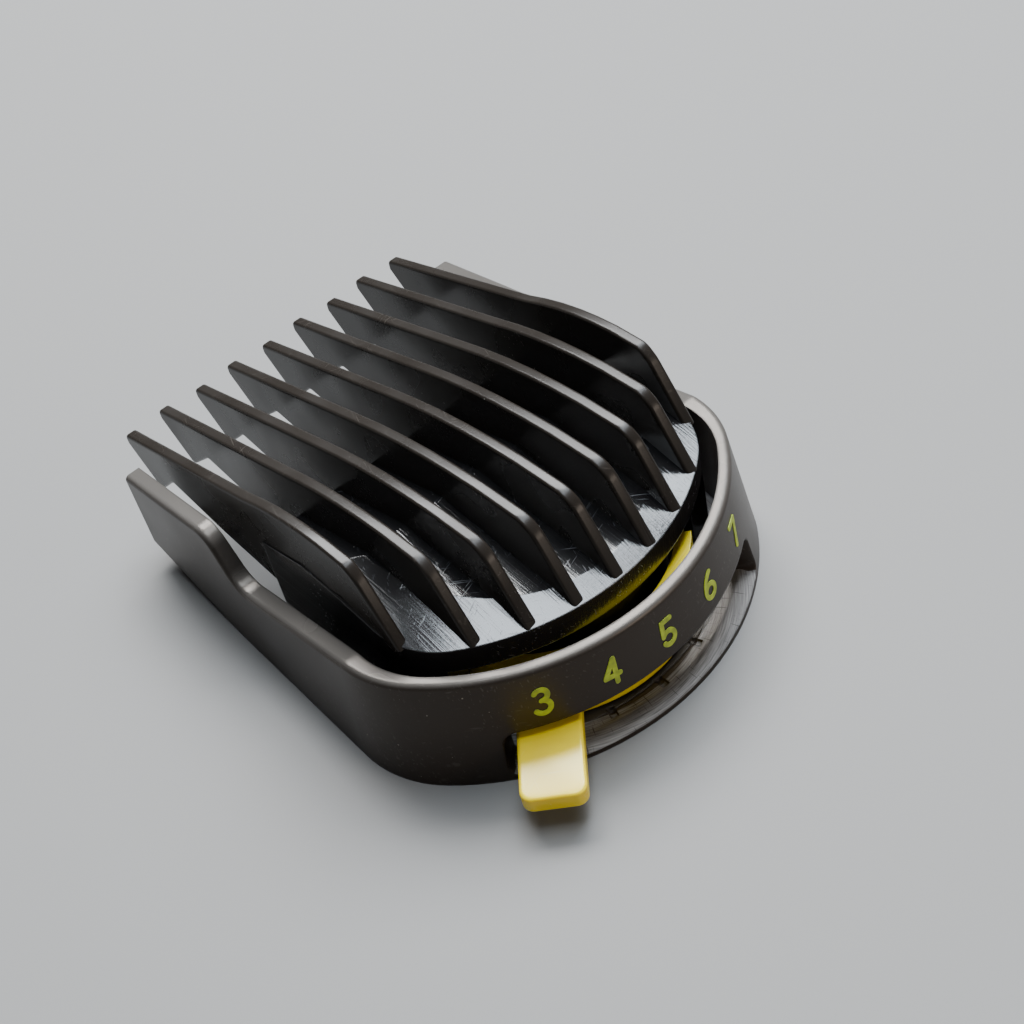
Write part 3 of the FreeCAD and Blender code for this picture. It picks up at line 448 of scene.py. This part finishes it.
def tooth_mesh():
    """The middle tooth, with all its edges rounded; the seat is marked."""
    outline, foot = tooth_outline()
    rings = []
    for turn in (math.radians(angle) for angle in ROUND_TURNS):
        ring = inset_outline(outline, TOOTH_ROUND * (1 - math.cos(turn)))
        side = TOOTH_ROUND * (math.sin(turn) - 1)
        rings.append([(side, p.x, p.y) for p in ring])
    rows = [[(side + TOOTH_HALF + (DRAFT_LEVEL - z) * TOOTH_DRAFT, y, z) for side, y, z in ring]
            for ring in rings]
    rows = [[(-x, y, z) for x, y, z in row] for row in reversed(rows)] + rows
    count = len(outline)
    mesh = bpy.data.meshes.new("tooth")
    faces = [list(range(count))[::-1],
             [(len(rows) - 1) * count + i for i in range(count)]]
    for level in range(len(rows) - 1):
        for i in range(count):
            j = (i + 1) % count
            low, high = level * count, (level + 1) * count
            faces.append((low + i, low + j, high + j, high + i))
    mesh.from_pydata([p for row in rows for p in row], [], faces)
    mesh.shade_smooth()
    seat = mesh.attributes.new("seat", "FLOAT", "POINT")
    hidden = [foot + SEAT_INSET < p.x < SEAT_END and SEAT_LOW < p.y < SEAT_HIGH
              for p in outline]
    seat.data.foreach_set("value", [float(h) for _ in rows for h in hidden])
    return mesh, foot


def tooth_row(foot):
    """The tree that sets the teeth in a row and fits each to the rim and floors."""
    tree = bpy.data.node_groups.new("tooth_row", "GeometryNodeTree")
    tree.interface.new_socket("Geometry", in_out="INPUT", socket_type="NodeSocketGeometry")
    for word, kind in (("Tooth", "NodeSocketObject"), ("Finish", "NodeSocketMaterial"),
                       ("Straight From", "NodeSocketFloat"), ("Rear Top", "NodeSocketFloat"),
                       ("Seat Depth", "NodeSocketFloat")):
        tree.interface.new_socket(word, in_out="INPUT", socket_type=kind)
    tree.interface.new_socket("Geometry", in_out="OUTPUT", socket_type="NodeSocketGeometry")
    given, made = tree.nodes.new("NodeGroupInput"), tree.nodes.new("NodeGroupOutput")
    wire = tree.links.new

    def named(word):
        reader = tree.nodes.new("GeometryNodeInputNamedAttribute")
        reader.data_type = "FLOAT"
        reader.inputs["Name"].default_value = word
        return reader.outputs["Attribute"]

    blade = tree.nodes.new("GeometryNodeObjectInfo")
    wire(given.outputs["Tooth"], blade.inputs["Object"])
    copies = tree.nodes.new("GeometryNodeInstanceOnPoints")
    wire(given.outputs["Geometry"], copies.inputs["Points"])
    wire(blade.outputs["Geometry"], copies.inputs["Instance"])
    real = tree.nodes.new("GeometryNodeRealizeInstances")
    wire(copies.outputs["Instances"], real.inputs["Geometry"])
    spot = tree.nodes.new("GeometryNodeInputPosition")
    parts = tree.nodes.new("ShaderNodeSeparateXYZ")
    wire(spot.outputs[0], parts.inputs[0])
    y, z = parts.outputs["Y"], parts.outputs["Z"]
    # the rear end slides to the rim, and less and less towards the straight ridge
    span = reckon(tree, "SUBTRACT", given.outputs["Straight From"], given.outputs["Rear Top"])
    rear = reckon(tree, "DIVIDE", reckon(tree, "SUBTRACT", given.outputs["Straight From"], y),
                  span)
    rear = reckon(tree, "MINIMUM", reckon(tree, "MAXIMUM", rear, 0.0), 1.0)
    nose = ranged(tree, y, 0.0, 1.0, NOSE_FROM, NOSE_TO)
    moved_y = reckon(tree, "ADD", y, reckon(tree, "MULTIPLY", rear, named("slide")))
    moved_y = reckon(tree, "ADD", moved_y, reckon(tree, "MULTIPLY", nose, named("extra")))
    # the seat lies inside the thickness of the floors
    rises = []
    for (y0, z0), (y1, z1) in ((FLOOR_REAR, FLOOR_BEND), (FLOOR_BEND, FLOOR_FRONT)):
        slope = (z1 - z0) / (y1 - y0)
        rises.append(reckon(tree, "ADD", reckon(tree, "MULTIPLY", moved_y, slope),
                            (z0 - slope * y0) * MM))
    floor_z = reckon(tree, "MINIMUM", *rises)
    facet = reckon(tree, "SUBTRACT", moved_y, named("rim"))
    facet = reckon(tree, "ADD", reckon(tree, "MULTIPLY", facet, FACET_SLOPE), RIM_LEVEL)
    floor_z = reckon(tree, "MINIMUM", floor_z, facet)
    seat_z = reckon(tree, "SUBTRACT", floor_z, given.outputs["Seat Depth"])
    drop = reckon(tree, "MULTIPLY", reckon(tree, "SUBTRACT", seat_z, z), named("seat"))
    join = tree.nodes.new("ShaderNodeCombineXYZ")
    wire(parts.outputs["X"], join.inputs["X"])
    wire(moved_y, join.inputs["Y"])
    wire(reckon(tree, "ADD", z, drop), join.inputs["Z"])
    shift = tree.nodes.new("GeometryNodeSetPosition")
    wire(real.outputs["Geometry"], shift.inputs["Geometry"])
    wire(join.outputs[0], shift.inputs["Position"])
    paint = tree.nodes.new("GeometryNodeSetMaterial")
    wire(shift.outputs["Geometry"], paint.inputs["Geometry"])
    wire(given.outputs["Finish"], paint.inputs["Material"])
    wire(paint.outputs["Geometry"], made.inputs["Geometry"])
    return tree


def grown(name, source, tree, values):
    """The plain mesh that a tree makes from a source object; the source goes."""
    growth = source.modifiers.new(name, "NODES")
    growth.node_group = tree
    keys = {item.name: item.identifier for item in tree.interface.items_tree
            if item.in_out == "INPUT"}
    for word, value in values.items():
        growth[keys[word]] = value
    depsgraph = bpy.context.evaluated_depsgraph_get()
    mesh = bpy.data.meshes.new_from_object(source.evaluated_get(depsgraph),
                                           preserve_all_data_layers=True, depsgraph=depsgraph)
    mesh.name = name
    source.modifiers.remove(growth)
    bpy.data.objects.remove(source)
    piece = bpy.data.objects.new(name, mesh)
    bpy.context.scene.collection.objects.link(piece)
    return piece


tooth_shape, middle_foot = tooth_mesh()
pattern_tooth = bpy.data.objects.new("pattern_tooth", tooth_shape)
bpy.context.scene.collection.objects.link(pattern_tooth)
row_mesh = bpy.data.meshes.new("tooth_places")
places = [(i - (TOOTH_COUNT - 1) / 2) * TOOTH_PITCH for i in range(TOOTH_COUNT)]
row_mesh.from_pydata([(x, 0, 0) for x in places], [], [])
for word, values in (("slide", [rim_at(x) - rim_at(0) for x in places]),
                     ("extra", [EVEN_EXTRA * (i % 2) for i in range(TOOTH_COUNT)]),
                     ("rim", [rim_at(x) for x in places])):
    row_mesh.attributes.new(word, "FLOAT", "POINT").data.foreach_set("value", values)
row_source = bpy.data.objects.new("tooth_places", row_mesh)
bpy.context.scene.collection.objects.link(row_source)
tooth_finish = gloss_black("moulded_black", TOOTH_BLACK, TOOTH_SCRATCH, scratch_share=0.12,
                           smooth=0.22, dull=0.34, shine=0.2)
teeth = grown("comb_teeth", row_source, tooth_row(middle_foot), {
    "Tooth": pattern_tooth, "Finish": tooth_finish, "Straight From": RIDGE_BEND[0] * MM,
    "Rear Top": middle_foot + REAR_RUN * MM, "Seat Depth": SEAT_DEPTH})
bpy.data.objects.remove(pattern_tooth)
flat_sides = teeth.modifiers.new("flat_sides", "WEIGHTED_NORMAL")
flat_sides.keep_sharp = True
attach(teeth, "comb")
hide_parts(*["tooth_%d" % (i + 1) for i in range(TOOTH_COUNT)])

# ---------------------------------------------------------------- lift skirt and pins
# The round skirt under the floors that slides on the guide sleeve, and the two pins
# that ride in the ring's grooves. They are one moulding with the comb, left duller.
SKIRT_BLACK = (0.013, 0.013, 0.013)
SKIRT_SCRATCH = (0.1, 0.1, 0.1)
skirt_finish = gloss_black("tool_marked_black", SKIRT_BLACK, SKIRT_SCRATCH, scratch_share=0.25,
                           smooth=0.28, dull=0.42, shine=0.4)
for word in ("lift_skirt", "lift_pin_left", "lift_pin_right"):
    refinish(nodes[word], skirt_finish)

# ---------------------------------------------------------------- outer band
# The U-shaped frame that clips round the trimmer's head: one moulding in satin
# charcoal plastic. The ledge that the lever's slot leaves is painted pale grey as a
# reflection, with darker streaks where the click nub rubs it, and the upward faces of
# the top edge carry a painted highlight.
BAND_CHARCOAL = (0.0175, 0.0125, 0.0098)
BAND_EASE = 0.3 * MM
BAND_RELIEF = 0.04 * MM
# painted highlight: a paler grey for the band's upward faces high up, in place of the lamps'
# reflection
TOP_HIGHLIGHT_GREY = (0.085, 0.080, 0.074)
BAND_SCRATCH = (0.16, 0.15, 0.14)
BAND_DUST = (0.36, 0.33, 0.29)
# painted reflection: the ledge's pale grey stands in for the lamps mirrored in it; the streaks
# and ticks are darker marks within it
LEDGE_SHEEN_GREY = (0.20, 0.20, 0.205)
LEDGE_STREAK = (0.055, 0.055, 0.057)
LEDGE_TICK = (0.02, 0.02, 0.02)
LEDGE_HEIGHT = 0.9 * MM
LEDGE_SPARE = 0.03 * MM
LEDGE_INSIDE = 14.2 * MM
LEDGE_UPWARD = 0.75


def polar_place(tree, place, along, across):
    """Coordinates that run round the lever's axis and out from it."""
    parts = tree.nodes.new("ShaderNodeSeparateXYZ")
    tree.links.new(place, parts.inputs[0])
    x, y = parts.outputs["X"], parts.outputs["Y"]
    turn = reckon(tree, "ARCTAN2", x, reckon(tree, "MULTIPLY", y, -1.0))
    out = reckon(tree, "SQRT", reckon(tree, "ADD", reckon(tree, "MULTIPLY", x, x),
                                      reckon(tree, "MULTIPLY", y, y)))
    join = tree.nodes.new("ShaderNodeCombineXYZ")
    tree.links.new(reckon(tree, "MULTIPLY", turn, along), join.inputs["X"])
    tree.links.new(reckon(tree, "MULTIPLY", out, across), join.inputs["Y"])
    return join.outputs[0], parts.outputs["Z"], out


def ledge_sheen_and_rub():
    """The mask of the ledge under the slot, where a pale grey is painted as a reflection, its
    streaks round the axis, its ticks.
    """
    tree, given, made = new_effect(
        "ledge_sheen_and_rub",
        [("Place", "NodeSocketVector", None), ("Height", "NodeSocketFloat", LEDGE_HEIGHT)],
        [("Mask", "NodeSocketFloat"), ("Streaks", "NodeSocketFloat"),
         ("Ticks", "NodeSocketFloat")])
    streak_place, z, out = polar_place(tree, given.outputs["Place"], along=6.0, across=9000.0)
    streaks = tree.nodes.new("ShaderNodeTexNoise")
    streaks.inputs["Scale"].default_value = 1.0
    streaks.inputs["Detail"].default_value = 3.0
    tree.links.new(streak_place, streaks.inputs["Vector"])
    tick_place, _, _ = polar_place(tree, given.outputs["Place"], along=120.0, across=500.0)
    ticks = tree.nodes.new("ShaderNodeTexNoise")
    ticks.inputs["Scale"].default_value = 1.0
    ticks.inputs["Detail"].default_value = 1.0
    tree.links.new(tick_place, ticks.inputs["Vector"])
    facing = tree.nodes.new("ShaderNodeSeparateXYZ")
    tree.links.new(tree.nodes.new("ShaderNodeNewGeometry").outputs["Normal"],
                   facing.inputs[0])
    upward = reckon(tree, "GREATER_THAN", facing.outputs["Z"], LEDGE_UPWARD)
    low = reckon(tree, "LESS_THAN", z, reckon(tree, "ADD", given.outputs["Height"], LEDGE_SPARE))
    outside = reckon(tree, "GREATER_THAN", out, LEDGE_INSIDE)
    tree.links.new(reckon(tree, "MULTIPLY", reckon(tree, "MULTIPLY", low, upward), outside),
                   made.inputs["Mask"])
    tree.links.new(streaks.outputs["Fac"], made.inputs["Streaks"])
    tree.links.new(ranged(tree, ticks.outputs["Fac"], 0.0, 1.0, 0.66, 0.72),
                   made.inputs["Ticks"])
    return tree


def painted_top_highlight():
    """The mask of the upward faces along the top edge, where a paler grey is painted as a
    highlight.
    """
    tree, given, made = new_effect(
        "painted_top_highlight",
        [("Place", "NodeSocketVector", None), ("From Height", "NodeSocketFloat", 6 * MM)],
        [("Mask", "NodeSocketFloat")])
    parts = tree.nodes.new("ShaderNodeSeparateXYZ")
    tree.links.new(given.outputs["Place"], parts.inputs[0])
    facing = tree.nodes.new("ShaderNodeSeparateXYZ")
    tree.links.new(tree.nodes.new("ShaderNodeNewGeometry").outputs["Normal"],
                   facing.inputs[0])
    high = reckon(tree, "GREATER_THAN", parts.outputs["Z"], given.outputs["From Height"])
    upward = ranged(tree, facing.outputs["Z"], 0.0, 1.0, 0.35, 0.95)
    tree.links.new(reckon(tree, "MULTIPLY", high, upward), made.inputs["Mask"])
    return tree


LEDGE_SHEEN, TOP_HIGHLIGHT = ledge_sheen_and_rub(), painted_top_highlight()


def satin_charcoal(name, charcoal, smooth, dull):
    """Satin plastic with a fine grain, dust, light rubbing, a painted highlight on the top edge
    and a ledge painted pale as a reflection.
    """
    material, tree, shader, place = new_finish(name)
    skin = place_effect(tree, SKIN, place, Sink=0.009, Grain=0.00012, Grain_Share=0.12)
    marks = place_effect(tree, SCRATCHES, place, Spacing=0.0002, Patch=0.009)
    specks = place_effect(tree, SPECKS, place, Spacing=0.0011, Size=0.075, Share=0.5)
    worn = reckon(tree, "MULTIPLY", marks.outputs["Mask"], 0.18)
    colour = blended(tree, worn, charcoal, BAND_SCRATCH)
    colour = blended(tree, reckon(tree, "MULTIPLY", specks.outputs["Mask"], 0.45), colour,
                     BAND_DUST)
    gloss = ranged(tree, skin.outputs["Gloss"], smooth, dull)
    # painted highlight: upward faces above 6 mm get a paler grey, and a little less roughness
    top_sheen = place_effect(tree, TOP_HIGHLIGHT, place)
    colour = blended(tree, reckon(tree, "MULTIPLY", top_sheen.outputs["Mask"], 0.8), colour,
                     TOP_HIGHLIGHT_GREY)
    gloss = reckon(tree, "SUBTRACT", gloss, reckon(tree, "MULTIPLY", top_sheen.outputs["Mask"], 0.08))
    height = reckon(tree, "SUBTRACT", skin.outputs["Height"],
                    reckon(tree, "MULTIPLY", worn, 0.3))
    # painted reflection: the ledge's upward faces are painted pale grey, broken by darker
    # streaks and ticks
    sheen_and_rub = place_effect(tree, LEDGE_SHEEN, place)
    pale = blended(tree, ranged(tree, sheen_and_rub.outputs["Streaks"], 0.0, 1.0), LEDGE_SHEEN_GREY,
                   LEDGE_STREAK)
    pale = blended(tree, sheen_and_rub.outputs["Ticks"], pale, LEDGE_TICK)
    colour = blended(tree, sheen_and_rub.outputs["Mask"], colour, pale)
    lines = reckon(tree, "MULTIPLY", sheen_and_rub.outputs["Mask"], sheen_and_rub.outputs["Streaks"])
    height = reckon(tree, "ADD", height, reckon(tree, "MULTIPLY", lines, 0.5))
    tree.links.new(colour, shader.inputs["Base Color"])
    tree.links.new(gloss, shader.inputs["Roughness"])
    eased_bump(tree, shader, height, BAND_RELIEF, BAND_EASE)
    shader.inputs["Specular IOR Level"].default_value = 0.32
    shader.inputs["Specular Tint"].default_value = (1.0, 0.90, 0.80, 1)
    return material


band_finish = satin_charcoal("satin_charcoal", BAND_CHARCOAL, smooth=0.28, dull=0.38)
refinish(nodes["outer_band"], band_finish)

# ---------------------------------------------------------------- retainer plate, sleeve
# The thin plate that closes the band from below and the sleeve that the comb slides
# on. They are welded into the band, of the same plastic with a coarser skin.
PLATE_CHARCOAL = (0.018, 0.0165, 0.0155)
plate_finish = satin_charcoal("plate_charcoal", PLATE_CHARCOAL, smooth=0.36, dull=0.5)
for word in ("retainer_plate", "guide_sleeve"):
    refinish(nodes[word], plate_finish)

# ---------------------------------------------------------------- numerals
# The settings 3 to 7, pad-printed in lime ink on the band's front wall, a film that
# has worn thin in places.
LIME_INK = (0.42, 0.54, 0.02)
INK_WORN = (0.20, 0.26, 0.02)
INK_RELIEF, INK_EASE = 0.02 * MM, 0.04 * MM
ink_finish, ink_tree, ink_shader, ink_place = new_finish("lime_ink")
ink_skin = place_effect(ink_tree, SKIN, ink_place, Sink=0.0006, Grain=0.00008, Grain_Share=0.5)
ink_tree.links.new(blended(ink_tree, ranged(ink_tree, ink_skin.outputs["Gloss"], 0.0, 0.8),
                           LIME_INK, INK_WORN), ink_shader.inputs["Base Color"])
ink_tree.links.new(ranged(ink_tree, ink_skin.outputs["Height"], 0.38, 0.55),
                   ink_shader.inputs["Roughness"])
eased_bump(ink_tree, ink_shader, ink_skin.outputs["Height"], INK_RELIEF, INK_EASE)
for digit in (3, 4, 5, 6, 7):
    refinish(nodes["numeral_%d" % digit], ink_finish)

# ---------------------------------------------------------------- cam ring, lever, nub
# The bright yellow moulding inside: the ring with its two grooves, the thumb lever
# that comes out through the slot, and the nub that clicks into the ledge's notches.
YELLOW = (0.86, 0.66, 0.003)
YELLOW_DEEP = (0.76, 0.56, 0.002)
YELLOW_RUBBED = (0.9, 0.85, 0.35)
YELLOW_RELIEF, YELLOW_EASE = 0.04 * MM, 0.12 * MM


def bright_yellow(name, smooth, dull):
    """Slightly translucent glossy yellow plastic with faint flow marks."""
    material, tree, shader, place = new_finish(name)
    skin = place_effect(tree, SKIN, place, Sink=0.004, Grain=0.0002, Grain_Share=0.08)
    marks = place_effect(tree, SCRATCHES, place, Spacing=0.0004, Patch=0.005)
    colour = blended(tree, ranged(tree, skin.outputs["Gloss"], 0.0, 1.0), YELLOW, YELLOW_DEEP)
    colour = blended(tree, reckon(tree, "MULTIPLY", marks.outputs["Mask"], 0.25), colour,
                     YELLOW_RUBBED)
    tree.links.new(colour, shader.inputs["Base Color"])
    tree.links.new(ranged(tree, skin.outputs["Gloss"], smooth, dull),
                   shader.inputs["Roughness"])
    eased_bump(tree, shader, skin.outputs["Height"], YELLOW_RELIEF, YELLOW_EASE)
    shader.inputs["Subsurface Weight"].default_value = 0.25
    shader.inputs["Subsurface Radius"].default_value = (1.0, 0.8, 0.1)
    shader.inputs["Subsurface Scale"].default_value = 0.8 * MM
    return material


ring_finish = bright_yellow("ring_yellow", smooth=0.22, dull=0.34)
lever_finish = bright_yellow("lever_yellow", smooth=0.16, dull=0.26)
refinish(nodes["cam_ring"], ring_finish)
refinish(nodes["click_nub"], ring_finish)

# The lever's thumb pad is crowned: its top falls away towards the rounded end.
LEVER_ANGLE = math.radians(-40.0)
LEVER_FOOT = 2.1 * MM
PAD_FROM, PAD_TO = 14.0 * MM, 23.0 * MM
PAD_FALL = 0.22
PAD_STEPS = 16
SHARPEST_SMOOTH = math.radians(35)


def crowned_lever(piece_name, lever):
    """A merged copy of the lever with a pad that falls away towards its end."""
    outwards = Vector((math.sin(LEVER_ANGLE), -math.cos(LEVER_ANGLE), 0))
    shell = bmesh.new()
    shell.from_mesh(lever.data)
    bmesh.ops.remove_doubles(shell, verts=shell.verts, dist=0.002 * MM)
    for step in range(1, PAD_STEPS):
        everything = list(shell.verts) + list(shell.edges) + list(shell.faces)
        place = outwards * (PAD_FROM + (PAD_TO - PAD_FROM) * step / PAD_STEPS)
        bmesh.ops.bisect_plane(shell, geom=everything, plane_co=place, plane_no=outwards,
                               dist=0.001 * MM)
    for corner in shell.verts:
        share = (corner.co.dot(outwards) - PAD_FROM) / (PAD_TO - PAD_FROM)
        share = min(max(share, 0.0), 1.0)
        rise = corner.co.z - LEVER_FOOT
        corner.co.z = LEVER_FOOT + rise * (1 - PAD_FALL * share ** 2)
    for edge in shell.edges:
        edge.smooth = len(edge.link_faces) == 2 and edge.calc_face_angle(0) < SHARPEST_SMOOTH
    for face in shell.faces:
        face.smooth = True
    mesh = bpy.data.meshes.new(piece_name)
    shell.to_mesh(mesh)
    shell.free()
    if "custom_normal" in mesh.attributes:
        mesh.attributes.remove(mesh.attributes["custom_normal"])
    piece = bpy.data.objects.new(piece_name, mesh)
    bpy.context.scene.collection.objects.link(piece)
    return piece


lever_pad = crowned_lever("lever_pad", nodes["thumb_lever"])
refinish(lever_pad, lever_finish)
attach(lever_pad, "lever")
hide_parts("thumb_lever")
